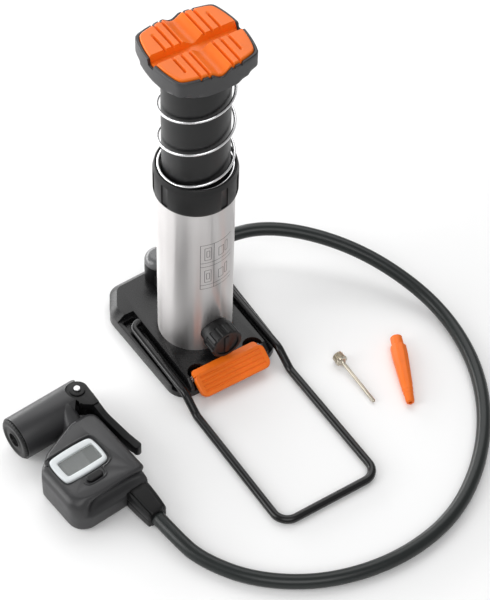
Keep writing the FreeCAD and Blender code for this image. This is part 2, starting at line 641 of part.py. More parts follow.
def make_chuck():
    save_head("chuck_body", chuck_body())
    save_head("chuck_cap", chuck_cap())
    axis = (0, 0, CHUCK_Z)
    save_head("valve_seal", turned_along_x([(-43.7, 4.1), (-43.7, 8.6), (-27.2, 8.6), (-27.2, 4.1)], axis))
    pusher = turned_along_x([(-23.4, 2.0), (-23.4, 8.6), (-20.2, 8.6), (-20.2, 4.85), (-9.8, 4.85),
                             (-9.8, 0), (-11, 0), (-11, 2.0)], axis)
    save_head("seal_pusher", pusher)
    save_head("thumb_lever", thumb_lever())
    washer_low = CHUCK_Z - FORK_OUT - 0.9
    washer_high = CHUCK_Z + FORK_OUT + 0.2
    pin = rod(2.0, (0, 0, washer_low - 0.9), (0, 0, washer_high + 2.0))
    save_head("lever_pin", round_edges(pin, 0.5, lambda p: p.z > 27 or p.z < 2))
    washers = [rod(4.6, (0, 0, z), (0, 0, z + 0.7)) for z in (washer_high, washer_low)]
    washers = [washer.cut(rod(2.03, (0, 0, 0), (0, 0, 30))) for washer in washers]
    save_head("lever_washers", Part.makeCompound(washers))


# ---------------------------------------------------------------- gauge, in the head's frame

WINDOW = (-39.0, -15.0, -46.4, -34.6)
BEZEL = (-43.0, -12.8, -50.2, -30.0)
BUTTON_AT = (-26.9, -54.6)
CELL_AT = (-27.0, -44.0)
COVER_END = -66.0           # far edge of the top cover, short of the lower body's wall
GAUGE_SCREWS = ((-42.0, -35.5), (-40.0, -59.0), (-5.8, -21.2), (-16.5, -59.0))


def gauge_lower():
    body = prism(gauge_outline(SLEEVE_ROOT), 0.5, GAUGE_SPLIT_Z)
    body = round_edges(body, 4.0, lambda p: abs(p.z - 0.5) < 0.01)
    body = body.cut(slab_inside(gauge_outline(COVER_END), 1.8, 6.6, GAUGE_SPLIT_Z))
    bosses = [rod(3.0, (x, y, 6), (x, y, GAUGE_SPLIT_Z)) for x, y in GAUGE_SCREWS]
    body = body.fuse(bosses)
    cuts = [rod(12.1, (CELL_AT[0], CELL_AT[1], 0), (CELL_AT[0], CELL_AT[1], 2.4)),
            rod(10.2, (CELL_AT[0], CELL_AT[1], 2), (CELL_AT[0], CELL_AT[1], 7))]
    for x, y in GAUGE_SCREWS:
        cuts.append(rod(1.35, (x, y, 0), (x, y, 20)))
        cuts.append(rod(2.5, (x, y, 0), (x, y, 2.2)))
    cuts.append(rod(2.65, (SLEEVE_X, -60, SLEEVE_Z), (SLEEVE_X, SLEEVE_ROOT - 1, SLEEVE_Z)))
    return body.cut(cuts)


def gauge_upper():
    outline = gauge_outline(COVER_END)
    body = slab_inside(outline, 0.4, GAUGE_SPLIT_Z, GAUGE_TOP_Z)
    body = round_edges(body, 1.5, lambda p: abs(p.z - GAUGE_TOP_Z) < 0.01)
    body = body.cut(slab_inside(outline, 2.4, GAUGE_SPLIT_Z, 21.6))
    bosses = [rod(2.8, (x, y, GAUGE_SPLIT_Z), (x, y, 22)) for x, y in GAUGE_SCREWS]
    body = body.fuse(bosses)
    cuts = [rod(1.2, (x, y, GAUGE_SPLIT_Z - 1), (x, y, 20.5)) for x, y in GAUGE_SCREWS]
    cuts.append(rounded_box(*BEZEL, 22.6, 30, 3.0))
    cuts.append(rounded_box(WINDOW[0] - 1, WINDOW[1] + 1, WINDOW[2] - 1, WINDOW[3] + 1, 18, 30, 1.0))
    x, y = BUTTON_AT
    cuts.append(rounded_box(x - 5.4, x + 5.4, y - 2.7, y + 2.7, 18, 30, 2.6))
    return body.cut(cuts)


def make_gauge():
    save_head("gauge_lower", gauge_lower())
    save_head("gauge_upper", gauge_upper())
    x0, x1, y0, y1 = BEZEL
    frame = rounded_box(x0 + 0.3, x1 - 0.3, y0 + 0.3, y1 - 0.3, 22.6, 24.6, 2.7)
    frame = round_edges(frame, 0.6, lambda p: abs(p.z - 24.6) < 0.01)
    frame = frame.cut(rounded_box(*WINDOW, 20, 30, 0.8))
    save_head("gauge_bezel", frame)
    wx0, wx1, wy0, wy1 = WINDOW
    save_head("display_lens", rounded_box(wx0 + 0.1, wx1 - 0.1, wy0 + 0.1, wy1 - 0.1, 23.0, 23.9, 0.7))
    save_head("display_panel", block(wx0 - 0.6, wx1 + 0.6, wy0 - 0.6, wy1 + 0.6, 19.6, 22.5))
    x, y = BUTTON_AT
    button = rounded_box(x - 5.1, x + 5.1, y - 2.4, y + 2.4, 19.8, 25.2, 2.3)
    save_head("mode_button", round_edges(button, 0.8, lambda p: abs(p.z - 25.2) < 0.01))
    board = prism([(-36, -55.5, 2), (-10, -55.5, 2), (-10, -27, 2), (-36, -29, 2)], 17.0, 18.4)
    save_head("circuit_board", board)
    save_head("pressure_sensor", block(-18, -11, -36, -29, 12.5, 17.0))
    cell = rod(10.0, (CELL_AT[0], CELL_AT[1], 2.9), (CELL_AT[0], CELL_AT[1], 6.1))
    save_head("coin_cell", cell)
    lid = rod(11.8, (CELL_AT[0], CELL_AT[1], 0.7), (CELL_AT[0], CELL_AT[1], 2.2))
    slot = block(CELL_AT[0] - 7, CELL_AT[0] + 7, CELL_AT[1] - 0.9, CELL_AT[1] + 0.9, 0, 1.4)
    save_head("battery_cover", lid.cut(slot))
    screws = []
    for x, y in GAUGE_SCREWS:
        screws.append(rod(2.4, (x, y, 0.9), (x, y, 2.2)).fuse(rod(1.15, (x, y, 2), (x, y, 20))))
    save_head("gauge_screws", Part.makeCompound(screws))


def make_sleeve():
    nipple = rod(2.6, (SLEEVE_X, -64.8, SLEEVE_Z), (SLEEVE_X, SLEEVE_END, SLEEVE_Z))
    save_head("head_nipple", nipple.cut(rod(1.4, (SLEEVE_X, -64, SLEEVE_Z), (SLEEVE_X, -90, SLEEVE_Z))))
    sections = []
    stations = ((SLEEVE_ROOT - FIT, 7.6, 0.6, 15.6), (-79.0, 7.2, 0.7, 15.0), (SLEEVE_END, 6.3, 0.9, 13.7))
    for y, half, z0, z1 in stations:
        left = SLEEVE_X - half
        right = SLEEVE_X + half
        points = [(left, y, z0), (right, y, z0), (right, y, z1), (left, y, z1)]
        sections.append(rounded_path(points, [3.2] * 4, closed=True))
    sleeve = Part.makeLoft(sections, True, True)
    bore = rod(2.65, (SLEEVE_X, -60, SLEEVE_Z), (SLEEVE_X, -95, SLEEVE_Z))
    save_head("hose_sleeve", sleeve.cut(bore))


# ---------------------------------------------------------------- loose adaptors on the floor

def lay_down(shape, tilt, turn, x, y):
    """Tip an upright turned part over towards -Y, turn it and rest it on the floor."""
    shape.rotate(ORIGIN, X, 90 + tilt)
    shape.rotate(ORIGIN, Z, turn)
    lowest = shape.optimalBoundingBox(True, False).ZMin
    shape.translate(Vector(x, y, 0.02 - lowest))
    return shape


def make_adaptors():
    needle = turned([(0.5, 0), (3.85, 0), (3.85, 5.6), (2.6, 6.4), (1.6, 7.2), (1.1, 8.4), (1.1, 38.6),
                     (0.8, 39.4), (0.5, 39.4)])
    save("ball_needle", lay_down(needle, 4.2, 0, 62.5, -61.6))
    nozzle = turned([(1.6, 0), (3.7, 0), (3.75, 6.8), (5.0, 7.2), (5.0, 14), (3.6, 36), (2.7, 47),
                     (2.2, 48.6), (1.2, 48.6), (1.2, 40)])
    save("tapered_nozzle", lay_down(nozzle, 2.6, -25.4, 100.2, -70.2))


os.makedirs("parts", exist_ok=True)
make_base()
make_barrel()
make_plunger()
make_stand()
make_knob()
make_latch()
make_valve()
make_hose()
make_chuck()
make_gauge()
make_sleeve()
make_adaptors()
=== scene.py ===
import json
import math

import bmesh
import bpy
from mathutils import Matrix, Vector

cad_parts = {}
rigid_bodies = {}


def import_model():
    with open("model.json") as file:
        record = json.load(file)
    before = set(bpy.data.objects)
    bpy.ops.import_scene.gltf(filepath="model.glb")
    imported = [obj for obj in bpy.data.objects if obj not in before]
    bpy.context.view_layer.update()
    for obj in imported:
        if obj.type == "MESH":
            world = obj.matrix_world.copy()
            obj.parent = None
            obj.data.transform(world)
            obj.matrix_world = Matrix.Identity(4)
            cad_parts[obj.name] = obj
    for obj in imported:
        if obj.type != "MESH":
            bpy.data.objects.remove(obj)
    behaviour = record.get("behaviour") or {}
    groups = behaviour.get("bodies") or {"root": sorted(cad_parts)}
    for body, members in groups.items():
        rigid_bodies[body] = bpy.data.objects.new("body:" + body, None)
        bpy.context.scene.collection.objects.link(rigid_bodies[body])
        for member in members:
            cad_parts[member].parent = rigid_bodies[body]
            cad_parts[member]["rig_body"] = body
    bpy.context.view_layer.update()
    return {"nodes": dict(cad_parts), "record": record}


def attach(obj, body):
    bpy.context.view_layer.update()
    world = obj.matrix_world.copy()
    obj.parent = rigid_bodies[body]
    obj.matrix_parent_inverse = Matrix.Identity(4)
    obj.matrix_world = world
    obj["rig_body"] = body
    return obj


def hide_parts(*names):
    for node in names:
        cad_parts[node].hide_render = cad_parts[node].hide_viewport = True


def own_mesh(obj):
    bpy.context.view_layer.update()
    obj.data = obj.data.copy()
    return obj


# Looks of the foot air pump: camera, studio, materials, and the detailed pieces that stand for plain CAD
# solids.  Shapes are in millimetres and MM scales them once; the camera and the lights are in metres.

MM = 0.001
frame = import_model()

# Sizes that repeat the part's own dimensions
BARREL_R = 22.5
SPRING_SEAT = 147.4
SPRING_TOP = 224.7
SPRING_R = 21.2
SPRING_WIRE_R = 0.85
HOSE_R = 4.3
HOSE_POINTS = [
    (24, 44, 20.5), (46, 44, 20.5), (72, 34, 25.5), (99, 9, 24.5), (122, -22, 17), (137, -62, 6.6),
    (132, -105, 4.4), (114, -142, 4.4), (86, -173, 4.4), (50, -195, 4.4), (8, -201, 4.4), (-34, -192, 4.4),
    (-67, -170, 4.4), (-85.5, -142, 4.4), (-90.24, -121.17, 7), (-91.63, -106.73, 7),
]


# ---------------------------------------------------------------- camera and studio

CAMERA_PLACE = (-0.4212, -0.6653, 0.9463)
CAMERA_RIGHT = (0.8382, -0.545, 0.0222)
CAMERA_BACK = (-0.3701, -0.5383, 0.7571)
SENSOR_HEIGHT = 36
FOCAL_LENGTH = 121.0

WORLD_STRENGTH = 0.42
FLOOR_HALF = 3.0
LIGHTS = (    # name, place, point it faces, width and height, power
    ("backdrop", (-0.6, 1.5, 0.32), (0, 0, 0.15), (3.4, 0.6), 38),
    ("left", (-1.15, 0.25, 0.70), (0, 0, 0.1), (0.7, 0.9), 7),
    ("key", (0.50, 0.72, 1.12), (0, 0, 0.05), (1.5, 1.0), 8.5),
    ("front", (-0.45, -0.95, 1.10), (0, 0, 0.05), (1.0, 0.8), 7),
)


def make_camera():
    data = bpy.data.cameras.new("camera")
    data.sensor_fit = "VERTICAL"
    data.sensor_height = SENSOR_HEIGHT
    data.lens = FOCAL_LENGTH
    camera = bpy.data.objects.new("camera", data)
    bpy.context.scene.collection.objects.link(camera)
    right = Vector(CAMERA_RIGHT).normalized()
    back = Vector(CAMERA_BACK).normalized()
    up = back.cross(right).normalized()
    turn = Matrix((right, up, back)).transposed()
    camera.matrix_world = Matrix.Translation(CAMERA_PLACE) @ turn.to_4x4()
    bpy.context.scene.camera = camera


def area_light(name, place, target, size, power):
    data = bpy.data.lights.new(name, "AREA")
    data.shape = "RECTANGLE"
    data.size, data.size_y = size
    data.energy = power
    light = bpy.data.objects.new(name, data)
    bpy.context.scene.collection.objects.link(light)
    aim = Vector(target) - Vector(place)
    light.matrix_world = Matrix.Translation(place) @ aim.to_track_quat("-Z", "Y").to_matrix().to_4x4()


def make_studio():
    """Pale floor, even white surroundings and four soft lights."""
    world = bpy.data.worlds.new("studio")
    bpy.context.scene.world = world
    world.use_nodes = True
    background = world.node_tree.nodes["Background"]
    background.inputs["Color"].default_value = (1, 1, 1, 1)
    background.inputs["Strength"].default_value = WORLD_STRENGTH
    bpy.context.scene.view_settings.view_transform = "Standard"
    for light in LIGHTS:
        area_light(*light)
    h = FLOOR_HALF
    floor = mesh_piece("floor", [(-h, -h, 0), (h, -h, 0), (h, h, 0), (-h, h, 0)], [(0, 1, 2, 3)], 1.0)
    floor.data.materials.append(floor_material())


# ---------------------------------------------------------------- materials

PLASTICS = {    # colour, roughness, depth and scale of the grain, shine
    "black_gloss_plastic": ((0.006, 0.006, 0.0064), 0.27, 0.003, 2600, 0.36),
    "black_plastic": ((0.004, 0.004, 0.0043), 0.40, 0.012, 2600, 0.30),
    "grey_plastic": ((0.024, 0.024, 0.0255), 0.40, 0.015, 2600, 0.50),
    # lighter, glossier grey: the valve cap's finish, and a painted highlight on the tube along the gauge's
    # slanted edge
    "light_grey_and_painted_highlight": ((0.085, 0.085, 0.088), 0.28, 0.004, 2600, 0.80),
    "orange_plastic": ((0.84, 0.160, 0.008), 0.40, 0.010, 2600, 0.35),
    "plunger_tube": ((0.005, 0.005, 0.0053), 0.36, 0.006, 2600, 0.36),
    "stand_wire": ((0.004, 0.004, 0.0044), 0.22, 0.006, 2600, 0.40),
    "bezel_plastic": ((0.62, 0.65, 0.66), 0.35, 0.006, 2600, 0.50),
    "inner_plastic": ((0.4, 0.4, 0.36), 0.50, 0.020, 2600, 0.50),
    "display": ((0.075, 0.105, 0.102), 0.25, 0.002, 2600, 0.50),
    "board": ((0.02, 0.12, 0.04), 0.40, 0.010, 2600, 0.50),
    "print_ink": ((0.10, 0.095, 0.095), 0.50, 0.002, 2600, 0.50),
    "seal_rubber": ((0.012, 0.012, 0.012), 0.70, 0.030, 1200, 0.50),
    "hose_rubber": ((0.008, 0.011, 0.0106), 0.34, 0.008, 1500, 0.42),
}
METALS = {    # colour, roughness, scale and depth of the marks
    "steel": ((0.60, 0.60, 0.61), 0.28, 900, 0.010),
    "spring_steel": ((0.78, 0.78, 0.79), 0.22, 500, 0.004),
    "brass": ((0.56, 0.51, 0.42), 0.34, 900, 0.010),
}


def new_material(name, colour, rough, metallic=0.0):
    material = bpy.data.materials.new(name)
    material.use_nodes = True
    shader = material.node_tree.nodes["Principled BSDF"]
    shader.inputs["Base Color"].default_value = (*colour, 1)
    shader.inputs["Roughness"].default_value = rough
    shader.inputs["Metallic"].default_value = metallic
    return material, shader


def noise(material, scale, detail=3.0, stretch=(1, 1, 1)):
    """Noise in the object's own space; a stretch below 1 lengthens the pattern along that axis."""
    nodes = material.node_tree.nodes
    links = material.node_tree.links
    place = nodes.new("ShaderNodeTexCoord")
    mapping = nodes.new("ShaderNodeMapping")
    mapping.inputs["Scale"].default_value = stretch
    texture = nodes.new("ShaderNodeTexNoise")
    texture.inputs["Scale"].default_value = scale
    texture.inputs["Detail"].default_value = detail
    links.new(place.outputs["Object"], mapping.inputs["Vector"])
    links.new(mapping.outputs["Vector"], texture.inputs["Vector"])
    return texture.outputs["Fac"]


def spread(material, source, low, high):
    """Map the middle of a noise value's spread to a range."""
    node = material.node_tree.nodes.new("ShaderNodeMapRange")
    node.inputs["From Min"].default_value = 0.3
    node.inputs["From Max"].default_value = 0.7
    node.inputs["To Min"].default_value = low
    node.inputs["To Max"].default_value = high
    material.node_tree.links.new(source, node.inputs["Value"])
    return node.outputs["Result"]


def tint(material, shader, source, dark, light):
    """Colour that wanders between two tones."""
    mix = material.node_tree.nodes.new("ShaderNodeMix")
    mix.data_type = "RGBA"
    mix.inputs["A"].default_value = (*dark, 1)
    mix.inputs["B"].default_value = (*light, 1)
    material.node_tree.links.new(source, mix.inputs["Factor"])
    material.node_tree.links.new(mix.outputs["Result"], shader.inputs["Base Color"])


def relief(material, shader, source, depth, strength=1.0):
    """Fine bumps of a depth in millimetres."""
    bump = material.node_tree.nodes.new("ShaderNodeBump")
    bump.inputs["Strength"].default_value = strength
    bump.inputs["Distance"].default_value = depth * MM
    material.node_tree.links.new(source, bump.inputs["Height"])
    material.node_tree.links.new(bump.outputs["Normal"], shader.inputs["Normal"])


def vary_roughness(material, shader, source, low, high):
    rough_range = spread(material, source, low, high)
    material.node_tree.links.new(rough_range, shader.inputs["Roughness"])


def scaled(colour, share):
    return tuple(share * c for c in colour)


def plastic(name, colour, rough, grain, grain_scale, shine):
    """Moulded plastic: fine spark-eroded grain, slow changes of tone and of gloss."""
    material, shader = new_material(name, colour, rough)
    tone = spread(material, noise(material, 60, 4), 0, 1)
    tint(material, shader, tone, scaled(colour, 0.92), scaled(colour, 1.08))
    vary_roughness(material, shader, noise(material, 240, 5), rough * 0.93, rough * 1.08)
    relief(material, shader, noise(material, grain_scale, 2), grain)
    shader.inputs["Specular IOR Level"].default_value = shine
    return material


def metal(name, colour, rough, scale, depth):
    """Bare metal with fine marks and slow changes of tone."""
    material, shader = new_material(name, colour, rough, 1.0)
    marks = noise(material, scale, 4)
    vary_roughness(material, shader, marks, rough * 0.8, rough * 1.25)
    tone = spread(material, noise(material, 35, 3), 0, 1)
    tint(material, shader, tone, scaled(colour, 0.93), colour)
    relief(material, shader, marks, depth, 0.6)
    return material


def satin_barrel(name):
    """Bare metal polished round the barrel, so reflections smear along its length."""
    material, shader = new_material(name, (0.66, 0.645, 0.64), 0.30, 1.0)
    lines = noise(material, 900, 3, (1, 1, 0.02))
    vary_roughness(material, shader, lines, 0.28, 0.33)
    tone = spread(material, noise(material, 14, 3), 0, 1)
    tint(material, shader, tone, (0.62, 0.60, 0.595), (0.69, 0.675, 0.67))
    shader.inputs["Anisotropic"].default_value = 0.97
    shader.inputs["Anisotropic Rotation"].default_value = 0.25
    tangent = material.node_tree.nodes.new("ShaderNodeTangent")
    tangent.direction_type = "RADIAL"
    tangent.axis = "Z"
    material.node_tree.links.new(tangent.outputs["Tangent"], shader.inputs["Tangent"])
    relief(material, shader, lines, 0.001, 0.3)
    return material


def glass(name):
    material, shader = new_material(name, (0.9, 0.95, 0.93), 0.04)
    shader.inputs["Alpha"].default_value = 0.16
    relief(material, shader, noise(material, 40, 2), 0.01)
    return material


def floor_material():
    material, shader = new_material("floor", (0.90, 0.90, 0.90), 0.6)
    relief(material, shader, noise(material, 300, 2), 0.01)
    return material


def make_materials():
    """One finish for each of the record's material slots, and two more for details of the looks."""
    materials = {name: plastic(name, *values) for name, values in PLASTICS.items()}
    materials.update({name: metal(name, *values) for name, values in METALS.items()})
    materials["barrel_metal"] = satin_barrel("barrel_metal")
    materials["lens"] = glass("lens")
    return materials


# ---------------------------------------------------------------- mesh helpers

EDGE_SEGMENTS = 3            # for the rounded edges of the CAD copies
EDGE_ANGLE = 34              # degrees; edges sharper than this are rounded


def mesh_piece(name, points, faces, scale=MM):
    mesh = bpy.data.meshes.new(name)
    mesh.from_pydata([tuple(scale * c for c in p) for p in points], [], faces)
    mesh.validate()
    piece = bpy.data.objects.new(name, mesh)
    bpy.context.scene.collection.objects.link(piece)
    return piece


def smooth(piece, angle):
    """Smooth shading with sharp creases above an angle in degrees."""
    mesh = piece.data
    for face in mesh.polygons:
        face.use_smooth = True
    mesh.set_sharp_from_angle(angle=math.radians(angle))


def angles_round(count):
    return [2 * math.pi * i / count for i in range(count)]


def skin(name, rings, caps=(True, True)):
    """Mesh through closed rings of equal count, with flat caps."""
    count = len(rings[0])
    points = [p for ring in rings for p in ring]
    faces = []
    for r in range(len(rings) - 1):
        for i in range(count):
            j = (i + 1) % count
            faces.append((r * count + i, r * count + j, (r + 1) * count + j, (r + 1) * count + i))
    if caps[0]:
        faces.append(tuple(reversed(range(count))))
    if caps[1]:
        faces.append(tuple(range((len(rings) - 1) * count, len(rings) * count)))
    return mesh_piece(name, points, faces)


def tube(name, path, radius, sides=12):
    """Round bar that follows a list of points."""
    rings = []
    path = [Vector(p) for p in path]
    side = Vector((0, 0, 1))
    for i, point in enumerate(path):
        along = (path[min(i + 1, len(path) - 1)] - path[max(i - 1, 0)]).normalized()
        side = (side - along * side.dot(along)).normalized()
        other = along.cross(side)
        rings.append([point + radius * (math.cos(a) * side + math.sin(a) * other)
                      for a in angles_round(sides)])
    return skin(name, rings)


def turned_rings(profile, count, radius_at):
    """Rings of an upright turned part; profile lists (z, radius) and radius_at(z, r, angle) shapes it."""
    rings = []
    for z, r in profile:
        ring = []
        for a in angles_round(count):
            reach = radius_at(z, r, a)
            ring.append((reach * math.cos(a), reach * math.sin(a), z))
        rings.append(ring)
    return rings


def evaluate(piece):
    """Apply a piece's modifiers."""
    graph = bpy.context.evaluated_depsgraph_get()
    graph.update()
    mesh = bpy.data.meshes.new_from_object(piece.evaluated_get(graph))
    piece.modifiers.clear()
    piece.data = mesh


def bevel_edges(piece, width, segments, angle):
    """Round the edges sharper than an angle in degrees over a width in millimetres."""
    bevel = piece.modifiers.new("edges", "BEVEL")
    bevel.width = width * MM
    bevel.segments = segments
    bevel.limit_method = "ANGLE"
    bevel.angle_limit = math.radians(angle)
    evaluate(piece)


def cut_away(piece, tool):
    """Boolean difference; the tool is deleted."""
    change = piece.modifiers.new("cut", "BOOLEAN")
    change.operation = "DIFFERENCE"
    change.solver = "EXACT"
    change.object = tool
    evaluate(piece)
    bpy.data.objects.remove(tool)


def finish(piece, node_or_nodes, material, angle=35):
    """Shade a piece, stand it in for its CAD nodes and let it ride on their body."""
    nodes = [node_or_nodes] if isinstance(node_or_nodes, str) else list(node_or_nodes)
    smooth(piece, angle)
    piece.data.materials.clear()
    piece.data.materials.append(material)
    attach(piece, frame["nodes"][nodes[0]]["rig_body"])
    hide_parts(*nodes)


def finish_extra(piece, material):
    """Shade a detail on the base's body that has no CAD node of its own."""
    smooth(piece, 40)
    piece.data.materials.append(material)
    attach(piece, "base")


def softened(node, width, material):
    """Copy of a CAD node whose sharp edges are rounded over a width in millimetres."""
    mesh = frame["nodes"][node].data.copy()
    mesh.name = node + "_soft"
    work = bmesh.new()
    work.from_mesh(mesh)
    bmesh.ops.remove_doubles(work, verts=work.verts, dist=2e-6)
    bmesh.ops.dissolve_limit(work, angle_limit=math.radians(0.6), verts=work.verts, edges=work.edges)
    work.to_mesh(mesh)
    work.free()
    if mesh.has_custom_normals:
        mesh.attributes.remove(mesh.attributes["custom_normal"])
    piece = bpy.data.objects.new(node + "_soft", mesh)
    bpy.context.scene.collection.objects.link(piece)
    bevel_edges(piece, width, EDGE_SEGMENTS, EDGE_ANGLE)
    finish(piece, node, material, angle=30)


# ---------------------------------------------------------------- hose and spring

SPRING_OPEN_TURNS = 2.95
SPRING_START = -152.3        # degrees, where the lower end of the wire lies
SPRING_STEPS = 48            # points in one turn


def make_hose(materials):
    data = bpy.data.curves.new("hose_line", "CURVE")
    data.dimensions = "3D"
    data.bevel_depth = HOSE_R * MM
    data.bevel_resolution = 6
    data.resolution_u = 24
    data.use_fill_caps = True
    line = data.splines.new("NURBS")
    line.points.add(len(HOSE_POINTS) - 1)
    for point, place in zip(line.points, HOSE_POINTS):
        point.co = (*[MM * c for c in place], 1)
    line.order_u = 3
    line.use_endpoint_u = True
    hose = bpy.data.objects.new("hose_line", data)
    bpy.context.scene.collection.objects.link(hose)
    data.materials.append(materials["hose_rubber"])
    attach(hose, "base")
    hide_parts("hose")


def make_spring(materials):
    """Wire coil: one closed turn at each end and about three open turns between."""
    low = SPRING_SEAT + SPRING_WIRE_R + 0.1
    high = SPRING_TOP - SPRING_WIRE_R
    rise = 2 * SPRING_WIRE_R + 0.25
    turns = SPRING_OPEN_TURNS + 2
    path = []
    for i in range(round(turns * SPRING_STEPS) + 1):
        t = i / SPRING_STEPS
        if t < 1:
            z = low + rise * t
        elif t > turns - 1:
            z = high - rise * (turns - t)
        else:
            z = low + rise + (high - low - 2 * rise) * (t - 1) / SPRING_OPEN_TURNS
        a = math.radians(SPRING_START) + 2 * math.pi * t
        path.append((SPRING_R * math.cos(a), SPRING_R * math.sin(a), z))
    spring = tube("return_spring_wire", path, SPRING_WIRE_R)
    finish(spring, "return_spring", materials["spring_steel"])
    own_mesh(spring)


# ---------------------------------------------------------------- printed panel on the barrel

INK_R = BARREL_R + 0.03
INK_HALF_WIDTH = 0.17
INK_STEP = 2.5                                       # degrees covered by one flat of a level line
PANEL_LEFT, PANEL_MIDDLE, PANEL_RIGHT = -115.0, -94.0, -60.0      # degrees round the barrel
PANEL_FOOT, PANEL_CENTRE, PANEL_TOP = 68.0, 86.8, 105.0
PANEL_STRIP = 3.2                                    # height of the strip at the foot of each row
ROW_BOXES = (    # left, right in degrees, and bottom, top above the row's foot
    (-108.5, -98.5, 5.5, 15.5), (-105.5, -101.0, 8.0, 13.0),
    (-86.0, -77.0, 6.0, 13.0), (-74.0, -69.0, 7.0, 15.0),
)


def printed_strip(points, faces, start, end):
    """Thin printed line on the barrel between two (degrees, height) places, level or upright."""
    (a0, z0), (a1, z1) = start, end
    steps = max(1, math.ceil(abs(a1 - a0) / INK_STEP))
    half = INK_HALF_WIDTH
    half_angle = math.degrees(half / INK_R)
    base = len(points)
    if z0 == z1:
        sides = [(a0 + (a1 - a0) * k / steps, z0 + shift)
                 for k in range(steps + 1) for shift in (-half, half)]
    else:
        sides = [(a0 + shift, z) for z in (z0, z1) for shift in (half_angle, -half_angle)]
    for a, z in sides:
        points.append((INK_R * math.cos(math.radians(a)), INK_R * math.sin(math.radians(a)), z))
    for k in range(len(sides) // 2 - 1):
        i = base + 2 * k
        faces.append((i, i + 2, i + 3, i + 1))


def make_barrel_print(materials):
    """Plain instruction panel: four cells with boxes that stand for the pictograms."""
    lines = [((a, PANEL_FOOT), (a, PANEL_TOP)) for a in (PANEL_LEFT, PANEL_MIDDLE)]
    for z in (PANEL_FOOT, PANEL_FOOT + PANEL_STRIP, PANEL_CENTRE, PANEL_CENTRE + PANEL_STRIP, PANEL_TOP):
        lines.append(((PANEL_LEFT, z), (PANEL_RIGHT, z)))
    for foot in (PANEL_FOOT, PANEL_CENTRE):
        for a0, a1, low, high in ROW_BOXES:
            z0, z1 = foot + low, foot + high
            lines += [((a0, z0), (a1, z0)), ((a0, z1), (a1, z1))]
            lines += [((a0, z0), (a0, z1)), ((a1, z0), (a1, z1))]
    points, faces = [], []
    for start, end in lines:
        printed_strip(points, faces, start, end)
    finish_extra(mesh_piece("barrel_print", points, faces), materials["print_ink"])


# ---------------------------------------------------------------- outline helpers

def clamped(value):
    return min(1.0, max(0.0, value))


def eased(t):
    """Soft start and end for a share from 0 to 1."""
    return t * t * (3 - 2 * t)


def dip(value, half, soft):
    """1 inside a groove, 0 outside it, with soft flanks."""
    return eased(clamped((half + soft - abs(value)) / (2 * soft)))


def arc_reach(along, bow, corner, half):
    """Distance from the middle to a bowed side.

    The side is an arc that stands 'bow' from the middle and drops to 'corner' at its two ends, 'half' away;
    'along' is the cosine of the angle from the side's own direction.
    """
    rise = bow - corner
    radius = (half ** 2 + rise ** 2) / (2 * rise)
    centre = bow - radius
    return centre * along + math.sqrt((centre * along) ** 2 + radius ** 2 - centre ** 2)


def bowed_reach(angle, corner, bow, inset=0.0, power=36):
    """Distance from the middle to a four-sided outline with bowed sides and soft corners."""
    cx, cy = corner[0] - inset, corner[1] - inset
    bx, by = bow[0] - inset, bow[1] - inset
    x = arc_reach(abs(math.cos(angle)), bx, cx, cy)
    y = arc_reach(abs(math.sin(angle)), by, cy, cx)
    return (x ** -power + y ** -power) ** (-1 / power)


def bowed_ring(corner, bow, z, inset=0.0, count=160, power=36, centre=(0, 0)):
    ring = []
    for a in angles_round(count):
        r = bowed_reach(a, corner, bow, inset, power)
        ring.append((centre[0] + r * math.cos(a), centre[1] + r * math.sin(a), z))
    return ring


def spaced(edges, step):
    """Sorted positions through the given edges, at most a step apart."""
    places = [edges[0]]
    for a, b in zip(edges, edges[1:]):
        count = max(1, math.ceil((b - a) / step))
        places += [a + (b - a) * i / count for i in range(1, count + 1)]
    return places


def curve_value(table, z):
    """Straight-line reading of a table of (z, value)."""
    for (z0, v0), (z1, v1) in zip(table, table[1:]):
        if z <= z1:
            return v0 + (v1 - v0) * max(0.0, z - z0) / (z1 - z0)
    return table[-1][1]


def curve_through(points, steps):
    """Smooth line through points, by Catmull-Rom segments."""
    line = []
    last = len(points) - 1
    for i in range(last):
        p0, p1, p2, p3 = (points[max(i - 1, 0)], points[i], points[i + 1], points[min(i + 2, last)])
        for k in range(steps):
            t = k / steps
            line.append(tuple(0.5 * (2 * b + (c - a) * t + (2 * a - 5 * b + 4 * c - d) * t * t
                                     + (3 * b - a - 3 * c + d) * t ** 3)
                              for a, b, c, d in zip(p0, p1, p2, p3)))
    return line + [points[-1]]


def shifted_corner(line, next_line):
    """Where two (point, direction) lines cross, and the turn between them."""
    (p, u), (q, v) = line, next_line
    t = ((q - p).x * v.y - (q - p).y * v.x) / (u.x * v.y - u.y * v.x)
    return p + u * t, math.acos(max(-1.0, min(1.0, u.dot(v))))


def corner_arc(corner, along, turn, radius, steps):
    """Arc that rounds a corner reached along a direction, turning left."""
    cut = radius * math.tan(turn / 2)
    start = corner - along * cut
    middle = start + Vector((-along.y, along.x)) * radius
    arm = start - middle
    arc = []
    for k in range(steps + 1):
        a = turn * k / steps
        arc.append(middle + Vector((arm.x * math.cos(a) - arm.y * math.sin(a),
                                    arm.x * math.sin(a) + arm.y * math.cos(a))))
    return arc


